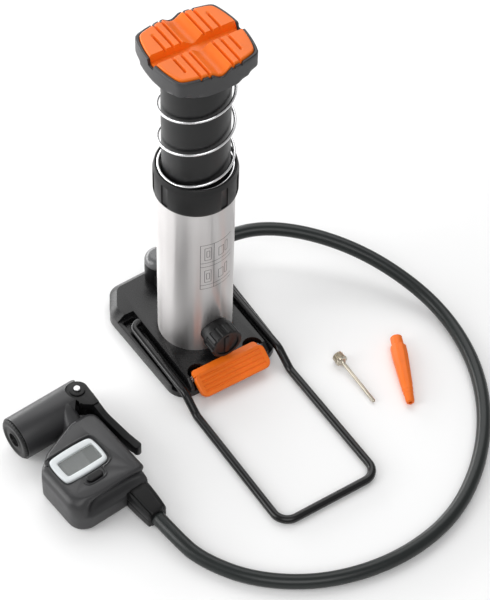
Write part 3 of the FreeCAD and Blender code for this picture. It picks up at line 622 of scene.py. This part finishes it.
def rounded_outline(corners, insets, arc_steps=8, edge_steps=10):
    """Rounded polygon with each side moved in by its inset; corners are (x, y, radius), anticlockwise."""
    count = len(corners)
    lines = []
    for i in range(count):
        a, b = Vector(corners[i][:2]), Vector(corners[(i + 1) % count][:2])
        along = (b - a).normalized()
        normal = Vector((-along.y, along.x))
        lines.append((a + normal * insets[i], along))
    arcs = []
    for i, (_, _, full) in enumerate(corners):
        radius = max(0.7 * full, full - 0.5 * (insets[i - 1] + insets[i]))
        corner, turn = shifted_corner(lines[i - 1], lines[i])
        arcs.append(corner_arc(corner, lines[i - 1][1], turn, radius, arc_steps))
    outline = []
    for arc, next_arc in zip(arcs, arcs[1:] + arcs[:1]):
        a, b = arc[-1], next_arc[0]
        outline += arc + [a + (b - a) * k / edge_steps for k in range(1, edge_steps)]
    return [(p.x, p.y) for p in outline]


def rounded_rectangle(x0, x1, y0, y1, radius):
    corners = [(x0, y0, radius), (x1, y0, radius), (x1, y1, radius), (x0, y1, radius)]
    return rounded_outline(corners, [0, 0, 0, 0], 6, 4)


def round_top(z, top, radius):
    """Inset of a wall under an edge rounded by a radius."""
    t = max(0.0, z - (top - radius))
    return radius - math.sqrt(max(0.0, radius ** 2 - t ** 2))


# ---------------------------------------------------------------- pedal

PEDAL_CORNER = (24.4, 22.5)
PEDAL_BOW = (28.2, 26.3)
PEDAL_UNDER = 225.0
PEDAL_TOP = 237.5
CONE_R = 27.5                # radius at the pedal's underside, which widens upwards
CONE_GROWTH = 6.5
CONE_HEIGHT = 4.5
WALL_RISES = (0, 1.5, 3.5, 5.5, 7.2, 9.5, 11.8)
RIM_WIDTH = 1.7
RIM_FOOT = PEDAL_TOP - 4.5
RIM_TROUGH_DROP = 3.5        # how far the rim dips at the trough, the hollow and the open grooves
RIM_HOLLOW_DROP = 3.2
RIM_GROOVE_DROP = 1.5
RIM_LIP = ((0.06, -0.5), (0.22, -0.18), (0.5, 0.0), (1.15, 0.0), (1.45, -0.12), (1.64, -0.45))
TREAD_TOP = 238.7
TREAD_INSET = RIM_WIDTH + 0.1
TREAD_FOOT = PEDAL_TOP - 4.4
TREAD_EDGE_R = 0.9
HOLLOW_HALF = 6.2            # half width of the round hollow that runs front to back
HOLLOW_DEPTH = 3.4
TROUGH_HALF = 3.6            # half width of the flat trough that runs from side to side
TROUGH_DEPTH = 4.6
GROOVES = ((7.2, 40.0), (12.0, 40.0), (17.0, 16.5))   # distance from the middle line, reach along it
GROOVE_DEPTH = 1.9
GROOVE_HALF = 0.5
GROOVE_SOFT = 0.45           # half width of each flank
NEAR_REACH = 7.0             # the tread's mesh is finest this far from the middle line


def hollow(x):
    """Share of the round hollow that runs front to back down the middle."""
    return (0.5 + 0.5 * math.cos(math.pi * x / HOLLOW_HALF)) ** 0.75 if abs(x) < HOLLOW_HALF else 0.0


def rim_height(x, y):
    """Height of the pedal's rim: it dips where the hollow, the trough and the open grooves reach it."""
    if abs(y) <= abs(x):
        return PEDAL_TOP - RIM_TROUGH_DROP * dip(y, 2.9, 0.4)
    drop = RIM_HOLLOW_DROP * hollow(x)
    for groove, _ in GROOVES[:2]:
        drop = max(drop, RIM_GROOVE_DROP * dip(abs(x) - groove, 0.7, 0.3))
    return PEDAL_TOP - drop


def make_pedal_frame(materials):
    """Black body: a cone at its foot, upright walls and a rounded rim."""
    levels = [(0.0, PEDAL_UNDER + rise, True) for rise in WALL_RISES]
    levels += [(inset, PEDAL_TOP + drop, False) for inset, drop in RIM_LIP]
    levels.append((RIM_WIDTH, RIM_FOOT, True))
    rings = []
    for inset, z, upright in levels:
        limit = CONE_R + CONE_GROWTH * (z - PEDAL_UNDER) / CONE_HEIGHT
        ring = []
        for x, y, _ in bowed_ring(PEDAL_CORNER, PEDAL_BOW, 0, inset, 360):
            share = min(1.0, limit / math.hypot(x, y))
            top = rim_height(x, y)
            height = min(z, top) if upright else z - PEDAL_TOP + top
            ring.append((share * x, share * y, height))
        rings.append(ring)
    shell = skin("pedal_frame_shell", rings)
    finish(shell, "pedal_frame", materials["grey_plastic"], angle=38)


def tread_depth(x, y):
    """Depth of the tread's surface below its crest."""
    depth = HOLLOW_DEPTH * hollow(x)
    for groove, far in GROOVES:
        across = dip(abs(x) - groove, GROOVE_HALF, GROOVE_SOFT)
        along = dip(abs(y), far, 0.8)
        depth = max(depth, GROOVE_DEPTH * across * along)
    return max(depth, TROUGH_DEPTH * dip(y, TROUGH_HALF - 0.2, 0.35))


def tread_reach(angle):
    return bowed_reach(angle, PEDAL_CORNER, PEDAL_BOW, TREAD_INSET)


def column_reach(x):
    """Half length of the tread at a distance x from its middle line, found by halving."""
    low, high = 0.0, 40.0
    for _ in range(30):
        middle = (low + high) / 2
        inside = math.hypot(x, middle) < tread_reach(math.atan2(middle, x))
        low, high = (middle, high) if inside else (low, middle)
    return low


def mirrored(values):
    """The values, which start at 0, with their negatives in front."""
    return [-v for v in reversed(values[1:])] + values


def tread_columns():
    """Distances from the middle line: on both flanks of each groove, and closer at the outer edge."""
    marks = [0.0, 3.0]
    outer, inner = GROOVE_HALF + GROOVE_SOFT, GROOVE_HALF - GROOVE_SOFT
    for groove, _ in GROOVES:
        marks += [groove - outer, groove - inner, groove + inner, groove + outer]
    widest = PEDAL_BOW[0] - TREAD_INSET
    return mirrored(spaced(marks + [widest - d for d in (1.4, 0.5, 0.15, 0.02)], 0.4))


def tread_line(x):
    """Positions along one column, closer near the trough and at the outer edge."""
    reach = column_reach(x)
    steps = 26
    ys = spaced([0.0, 3.05, 3.75, NEAR_REACH], 0.35)
    for k in range(1, steps + 1):
        ys.append(NEAR_REACH + (reach - NEAR_REACH) * (1 - (1 - k / steps) ** 1.5))
    return mirrored([min(y, reach) for y in ys])


def walled_down(piece, z):
    """Close the sides of an open sheet by walls that end at a height."""
    work = bmesh.new()
    work.from_mesh(piece.data)
    bmesh.ops.remove_doubles(work, verts=work.verts, dist=3e-5)
    border = [e for e in work.edges if e.is_boundary]
    made = bmesh.ops.extrude_edge_only(work, edges=border)
    for vert in made["geom"]:
        if isinstance(vert, bmesh.types.BMVert):
            vert.co.z = z * MM
    bmesh.ops.recalc_face_normals(work, faces=work.faces)
    work.to_mesh(piece.data)
    work.free()


def make_pedal_tread(materials):
    """Orange pad with a rounded edge, grooves, a round hollow and a flat trough."""
    xs = tread_columns()
    points = []
    for x in xs:
        for y in tread_line(x):
            to_edge = tread_reach(math.atan2(y, x)) - math.hypot(x, y)
            past = max(0.0, TREAD_EDGE_R - to_edge)
            round_off = TREAD_EDGE_R - math.sqrt(max(0.0, TREAD_EDGE_R ** 2 - past ** 2))
            points.append((x, y, TREAD_TOP - tread_depth(x, y) - round_off))
    rows = len(points) // len(xs)
    faces = []
    for i in range(len(xs) - 1):
        for j in range(rows - 1):
            a = i * rows + j
            faces.append((a, a + rows, a + rows + 1, a + 1))
    tread = mesh_piece("pedal_tread_pad", points, faces)
    walled_down(tread, TREAD_FOOT)
    finish(tread, "pedal_tread", materials["orange_plastic"], angle=50)


# ---------------------------------------------------------------- gauge head, in its own frame

HEAD_AT = (-91.4, -17.3)
HEAD_TURN = math.radians(5.5)
CASE = [    # x, y, corner radius
    (-49.5, -70.0, 10.5), (0.5, -70.0, 4.0), (0.5, -15.2, 6.0), (-16.5, -15.2, 8.0), (-39.0, -24.8, 5.0),
    (-49.5, -33.8, 5.0),
]
CASE_TOP = 24.0
CASE_LEVELS = (0.5, 0.8, 1.4, 2.4, 3.4, 4.5, 8.0, 11.0, 12.4, 13.0, 13.6, 14.2, 14.9, 15.9, 16.1, 16.4,
               16.6, 17.4, 18.2, 19.0, 19.8, 20.6, 21.3, 21.9, 22.4, 22.9, 23.3, 23.6, 23.85, 24.0)
FOOT_HEIGHT = 4.5            # the case narrows below this height
FOOT_R = 4.0
SEAM = (16.05, 16.5)         # heights of the groove where the two halves meet
SEAM_DEPTH = 0.5
RIGHT_R = 4.2
LEFT_R = 5.8
CHAMFER_FOOT = 22.4
CHAMFER_WIDTH = 2.8
FAR_LEAN = 7.2               # how far the side over the hose leans in between LEAN_FOOT and the top
LEAN_FOOT = 12.0
SCOOP_EDGE = -48.0           # the scoop over the hose lies beyond this line
SCOOP_START = -45.0          # it deepens over SCOOP_RISE from here to the right,
SCOOP_RISE = 13.0
SCOOP_EASE = -12.0           # and gets shallower again from here
SCOOP = [    # height, depth
    (11.0, 0.0), (12.2, 0.2), (12.9, 0.9), (13.4, 2.6), (14.0, 5.4), (15.0, 7.2), (16.6, 7.6),
    (18.2, 6.8), (19.6, 5.6), (21.0, 4.6), (22.4, 4.3), (23.2, 4.5), (23.7, 5.0), (24.0, 5.9),
]
BUTTON_X = -26.9
RECESS = (-44.0, -11.8, -51.2, -29.0, 3.6)                            # bezel's bed: sides, corner radius
LOBE = (BUTTON_X - 6.8, BUTTON_X + 6.8, -57.6, -48.0, 3.4)            # button's bed
BEAD = [(-44.0, -33.0), (-43.2, -29.6), (-39.5, -28.6), (-27.5, -28.2), (-15.5, -28.6), (-12.2, -30.0),
        (-11.0, -34.0), (-10.8, -40.0), (-11.4, -46.5), (-12.6, -50.0), (-16.0, -51.8), (-19.2, -52.4),
        (-19.7, -54.5), (-20.6, -57.0), (-23.4, -58.1), (-30.4, -58.1), (-33.2, -57.0), (-34.2, -54.6)]
BEAD_Z = 23.85
BEAD_R = 0.65
# Tube in a lighter grey than the case along the slanted top edge: a painted highlight
PAINTED_HIGHLIGHT_EDGE = [(-13.0, -16.8), (-15.9, -16.9), (-18.2, -17.7), (-38.0, -26.2), (-45.2, -32.2)]
PAINTED_HIGHLIGHT_EDGE_Z = 23.25
PAINTED_HIGHLIGHT_EDGE_R = 0.55


def head(points):
    """Points of the head's frame in the pump's frame."""
    c, s = math.cos(HEAD_TURN), math.sin(HEAD_TURN)
    return [(HEAD_AT[0] + x * c - y * s, HEAD_AT[1] + x * s + y * c, z) for x, y, z in points]


def scoop_share(x, y):
    """How much of the scoop a point of the outline takes: none at the left, most in the middle."""
    t = clamped((x - SCOOP_START) / SCOOP_RISE) * (1.0 - 0.32 * clamped((x - SCOOP_EASE) / 10.0))
    return eased(t) * clamped((SCOOP_EDGE - y) / 10.0)


def case_ring(z):
    """Outline of the gauge's case at a height."""
    foot = round_top(FOOT_HEIGHT - z, FOOT_R, FOOT_R) * 0.8 if z < FOOT_HEIGHT else 0.0
    seam = SEAM_DEPTH if SEAM[0] < z < SEAM[1] else 0.0
    far = FAR_LEAN * (max(0.0, z - LEAN_FOOT) / (CASE_TOP - LEAN_FOOT)) ** 2.0
    right = round_top(z, CASE_TOP, RIGHT_R) + seam
    left = round_top(z, CASE_TOP, LEFT_R)
    chamfer = CHAMFER_WIDTH * max(0.0, z - CHAMFER_FOOT) / (CASE_TOP - CHAMFER_FOOT) + seam
    insets = [foot + far, foot + right, foot + chamfer, foot + chamfer, foot + chamfer, foot + left]
    scoop = curve_value(SCOOP, z) - far
    ring = []
    for x, y in rounded_outline(CASE, insets):
        if y < SCOOP_EDGE:
            y += scoop * scoop_share(x, y)
        ring.append((x, y, z))
    return head(ring)


def prism(name, outline, low, high):
    """Upright block on an outline in the head's frame."""
    return skin(name, [head([(x, y, z) for x, y in outline]) for z in (low, high)])


def make_gauge_case(materials):
    """Gauge's case: soft on the left and on the lever's side, slanted edge, deep scoop over the hose."""
    case = skin("gauge_case", [case_ring(z) for z in CASE_LEVELS])
    cut_away(case, prism("recess_tool", rounded_rectangle(*RECESS), CASE_TOP - 1.0, CASE_TOP + 3.0))
    cut_away(case, prism("lobe_tool", rounded_rectangle(*LOBE), CASE_TOP - 0.6, CASE_TOP + 3.0))
    bevel_edges(case, 0.3, 2, 55)
    finish(case, ("gauge_lower", "gauge_upper"), materials["grey_plastic"], angle=40)
    path = head([(x, y, BEAD_Z) for x, y in curve_through(BEAD, 5)])
    finish_extra(tube("gauge_bead", path, BEAD_R, 8), materials["grey_plastic"])
    # painted highlight: a lighter grey tube along the slanted edge
    path = head([(x, y, PAINTED_HIGHLIGHT_EDGE_Z) for x, y in PAINTED_HIGHLIGHT_EDGE])
    finish_extra(tube("gauge_edge_painted_highlight", path, PAINTED_HIGHLIGHT_EDGE_R, 10), materials["light_grey_and_painted_highlight"])


BEZEL_CENTRE = (-27.9, -40.1)
BEZEL_CORNER = (14.1, 9.3)
BEZEL_BOW = (15.1, 10.1)
BEZEL_WALL = ((0, 22.7), (0, 24.0), (0.12, 24.35), (0.5, 24.6), (1.0, 24.65))          # inset, z
WINDOW_CENTRE = (-27.0, -40.5)
WINDOW_CORNER = (11.9, 5.8)
WINDOW_BOW = (12.15, 6.05)
WINDOW_WALL = ((-0.5, 24.65), (-0.12, 24.5), (0.0, 24.2), (0.0, 22.7))                 # inset, z


def make_bezel(materials):
    """Silver frame round the display, open in the middle."""
    rings = [bowed_ring(BEZEL_CORNER, BEZEL_BOW, z, inset, power=14, centre=BEZEL_CENTRE)
             for inset, z in BEZEL_WALL]
    rings += [bowed_ring(WINDOW_CORNER, WINDOW_BOW, z, inset, power=20, centre=WINDOW_CENTRE)
              for inset, z in WINDOW_WALL]
    bezel = skin("gauge_bezel_frame", [head(ring) for ring in rings], caps=(False, False))
    finish(bezel, "gauge_bezel", materials["bezel_plastic"], angle=50)


SLEEVE_X = -8.8
SLEEVE_SECTIONS = (    # y, half width, underside, top
    (-69.6, 7.4, 0.7, 15.4), (-70.6, 7.6, 0.6, 15.6), (-75.0, 7.45, 0.62, 15.4), (-79.0, 7.2, 0.7, 15.0),
    (-84.0, 6.8, 0.8, 14.4), (-87.6, 6.45, 0.9, 13.9), (-88.6, 6.2, 1.1, 13.6), (-89.0, 5.6, 1.7, 13.0),
    (-89.05, 4.9, 2.4, 12.2),
)
SLEEVE_GROOVES = (52, 128, 232, 308)      # degrees
SLEEVE_FLANKS = (10, 170)
SLEEVE_END = -88                          # the grooves are deeper beyond this y
SLEEVE_SQUARENESS = 5                     # 2 would be round


def sleeve_reach(angle, y):
    """Radius of the sleeve's squarish section for a half width of 1."""
    degrees = math.degrees(angle)
    power = SLEEVE_SQUARENESS
    square = (abs(math.cos(angle)) ** power + abs(math.sin(angle)) ** power) ** (-1 / power)
    groove = sum(dip(degrees - place, 3.0, 3.5) for place in SLEEVE_GROOVES)
    flank = sum(dip(degrees - place, 2.5, 3.0) for place in SLEEVE_FLANKS)
    depth = 0.12 if y > SLEEVE_END else 0.17
    return square * (1 - depth * groove - 0.05 * flank)


def make_sleeve(materials):
    """Strain relief on the hose: squarish, with grooves beside its raised back and a notched end."""
    rings = []
    for y, half, low, high in SLEEVE_SECTIONS:
        ring = []
        for a in angles_round(96):
            r = sleeve_reach(a, y)
            x = SLEEVE_X + half * r * math.cos(a)
            ring.append((x, y, (low + high) / 2 + (high - low) / 2 * r * math.sin(a)))
        rings.append(head(ring))
    sleeve = skin("hose_sleeve_boot", rings)
    finish(sleeve, "hose_sleeve", materials["black_plastic"], angle=42)


CHUCK_Z = 14.4
NECK_RIGHT = -5.2
NECK_FOOT = 8.0
NECK_SECTIONS = (    # y, left side, peak
    (-2.0, -14.6, 26.6), (-5.0, -16.6, 26.7), (-8.0, -18.6, 25.8), (-11.0, -20.0, 24.6),
    (-13.5, -20.6, 23.6), (-16.0, -20.8, 22.6), (-18.0, -20.8, 21.8),
)
CAP_PROFILE = (    # x, radius
    (-43.45, 11.0), (-43.5, 12.1), (-43.7, 12.5), (-44.4, 12.35), (-44.9, 11.7), (-45.2, 10.8),
    (-45.2, 9.2), (-44.7, 8.6), (-44.7, 6.0), (-45.1, 5.4), (-45.1, 4.6), (-44.6, 4.4), (-43.0, 4.4),
)
KNURL_TEETH = 36
KNURL_DEPTH = 0.35
KNURL_ENDS = (-44.95, -43.6)
KNURL_FLOOR = 11.5           # only rings wider than this carry the knurl


def make_chuck(materials):
    """Chuck's cylinder, and the smooth neck that joins it to the gauge."""
    softened("chuck_body", 0.6, materials["grey_plastic"])
    rings = []
    for y, left, peak in NECK_SECTIONS:
        middle, half = (left + NECK_RIGHT) / 2, (NECK_RIGHT - left) / 2
        ring = []
        for k in range(33):
            a = math.pi * k / 32
            x = middle + half * math.copysign(abs(math.cos(a)) ** 0.8, math.cos(a))
            ring.append((x, y, NECK_FOOT + (peak - NECK_FOOT) * math.sin(a) ** 0.9))
        rings.append(head(ring))
    finish_extra(skin("chuck_neck", rings), materials["grey_plastic"])


def make_chuck_cap(materials):
    """Screwed ring at the chuck's open end: fine knurl, dished face, hole in the middle."""
    rings = []
    for x, r in CAP_PROFILE:
        knurled = KNURL_ENDS[0] < x < KNURL_ENDS[1] and r > KNURL_FLOOR
        ring = []
        for a in angles_round(144):
            tooth = KNURL_DEPTH * (0.5 + 0.5 * math.cos(KNURL_TEETH * a)) if knurled else 0.0
            ring.append((x, (r - tooth) * math.cos(a), CHUCK_Z + (r - tooth) * math.sin(a)))
        rings.append(head(ring))
    cap = skin("chuck_cap_ring", rings, caps=(False, False))
    finish(cap, "chuck_cap", materials["black_plastic"], angle=40)


# ---------------------------------------------------------------- loose adaptors

ADAPTOR_LIFT = 0.02          # the adaptors lie this far above the floor

THREAD_END = 4.05
THREAD_R = 3.25
THREAD_HEIGHT = 0.3
THREAD_PITCH = 0.9
FLANGE_END = 5.7
FLANGE_R = 3.85
FLANGE_TEETH = 18
FLANGE_KNURL = 0.22
FLANGE_ROUND = 0.25          # how much its two end rings are smaller
THREAD_START = 0.86          # share of the radius at the very end
NEEDLE_THREAD = [0.0, 0.25] + [0.25 + 0.1 * k for k in range(1, 38)]      # heights through the thread
NEEDLE_FLANGE = [4.1, 4.3, 4.5, 5.6]
NEEDLE_STEM = [    # height, radius
    (5.75, 3.0), (5.8, 2.6), (6.0, 2.2), (7.0, 1.5), (8.2, 1.1), (20.0, 1.1), (38.6, 1.1), (39.2, 0.8),
    (39.4, 0.5),
]
NEEDLE_TILT = 4.2
NEEDLE_PLACE = (62.5, -61.6)

NOZZLE_PROFILE = [    # height, radius
    (0, 3.4), (0.3, 3.7), (6.6, 3.75), (6.9, 3.9), (7.1, 4.7), (7.5, 5.0), (14, 5.0), (36, 3.7), (37, 3.45),
    (39.4, 3.4), (39.9, 3.15), (42.0, 3.1), (42.5, 2.85), (47, 2.65), (48.2, 2.4), (48.6, 1.9), (48.6, 1.2),
    (46.0, 1.1),
]
FLATS_START, FLATS_END = 7.05, 36.5
FLAT_HALF = math.pi / 8      # half the angle of each of the eight flats
FLAT_EASE = 1.02             # above 1, the edges between the flats are soft
NOZZLE_TILT = 2.6
NOZZLE_TURN = -25.4
NOZZLE_PLACE = (100.2, -70.2)


def laid_down(points, tilt, turn, place):
    """Points of an upright turned part, tipped over towards -Y, turned and set down."""
    tip = Matrix.Rotation(math.radians(90 + tilt), 3, "X")
    swing = Matrix.Rotation(math.radians(turn), 3, "Z")
    return [swing @ (tip @ Vector(p)) + Vector((*place, 0)) for p in points]


def resting(name, rings, tilt, turn, place):
    """Skin of laid-down rings, set just above the floor as the CAD part is."""
    laid = [laid_down(ring, tilt, turn, place) for ring in rings]
    lowest = min(p.z for ring in laid for p in ring)
    return skin(name, [[p + Vector((0, 0, ADAPTOR_LIFT - lowest)) for p in ring] for ring in laid])


def needle_radius(z, r, angle):
    """Thread, then a knurled flange, then the smooth stem of radius r."""
    if z < THREAD_END:
        thread = math.cos(2 * math.pi * z / THREAD_PITCH - angle)
        return (THREAD_R + THREAD_HEIGHT * thread) * (THREAD_START if z == 0.0 else 1.0)
    if z < FLANGE_END:
        rounded = FLANGE_ROUND if z in (NEEDLE_FLANGE[1], NEEDLE_FLANGE[-1]) else 0.0
        return FLANGE_R - FLANGE_KNURL * (0.5 + 0.5 * math.cos(FLANGE_TEETH * angle)) - rounded
    return r


def make_needle(materials):
    """Ball needle: threaded end, knurled flange and a thin tube."""
    profile = [(z, THREAD_R) for z in NEEDLE_THREAD] + [(z, FLANGE_R) for z in NEEDLE_FLANGE] + NEEDLE_STEM
    rings = turned_rings(profile, 72, needle_radius)
    needle = resting("ball_needle_shape", rings, NEEDLE_TILT, 0, NEEDLE_PLACE)
    finish(needle, "ball_needle", materials["brass"], angle=30)


def nozzle_radius(z, r, angle):
    """Round ends, and eight soft flats between them."""
    if not FLATS_START < z < FLATS_END:
        return r
    face = (angle + FLAT_HALF) % (2 * FLAT_HALF) - FLAT_HALF
    return r * min(1.0, math.cos(FLAT_HALF) / math.cos(face) * FLAT_EASE)


def make_nozzle(materials):
    """Tapered nozzle with a plain collar, eight soft flats and a ringed tip."""
    rings = turned_rings(NOZZLE_PROFILE, 96, nozzle_radius)
    nozzle = resting("tapered_nozzle_shape", rings, NOZZLE_TILT, NOZZLE_TURN, NOZZLE_PLACE)
    finish(nozzle, "tapered_nozzle", materials["orange_plastic"], angle=24)


# ---------------------------------------------------------------- assembly

CUSTOM = (    # nodes that a detailed piece already stands for
    "hose", "return_spring", "pedal_frame", "pedal_tread", "gauge_lower", "gauge_upper", "gauge_bezel",
    "hose_sleeve", "chuck_body", "chuck_cap", "ball_needle", "tapered_nozzle",
)
EDGE_WIDTHS = {    # nodes shown as CAD copies with rounded edges
    "base_plate": 0.7, "collar": 0.4, "bleed_knob": 0.3, "bleed_port": 0.5, "toe_latch": 0.5,
    "valve_housing": 0.8, "valve_cap": 0.3, "thumb_lever": 1.2, "lever_pin": 0.3, "lever_washers": 0.2,
    "mode_button": 0.3, "hose_ferrule": 0.3, "plunger_tube": 0.3, "barrel": 0.3, "wire_stand": 0.2,
}


def dress_nodes(materials):
    """Give every CAD node the finish of its slot, and round the edges of the ones that show."""
    for part in frame["record"]["subparts"]:
        node = part["node"]
        slot = part["material_slot"]
        if node in CUSTOM:
            continue
        if node in EDGE_WIDTHS:
            # the valve cap takes the lighter, glossier grey in place of its slot's finish
            finish_name = "light_grey_and_painted_highlight" if node == "valve_cap" else slot
            softened(node, EDGE_WIDTHS[node], materials[finish_name])
            continue
        mesh = frame["nodes"][node].data
        mesh.materials.clear()
        mesh.materials.append(materials[slot])


make_camera()
materials = make_materials()
make_hose(materials)
make_studio()
make_spring(materials)
make_barrel_print(materials)
make_pedal_frame(materials)
make_pedal_tread(materials)
make_gauge_case(materials)
make_bezel(materials)
make_sleeve(materials)
make_chuck(materials)
make_chuck_cap(materials)
make_needle(materials)
make_nozzle(materials)
dress_nodes(materials)
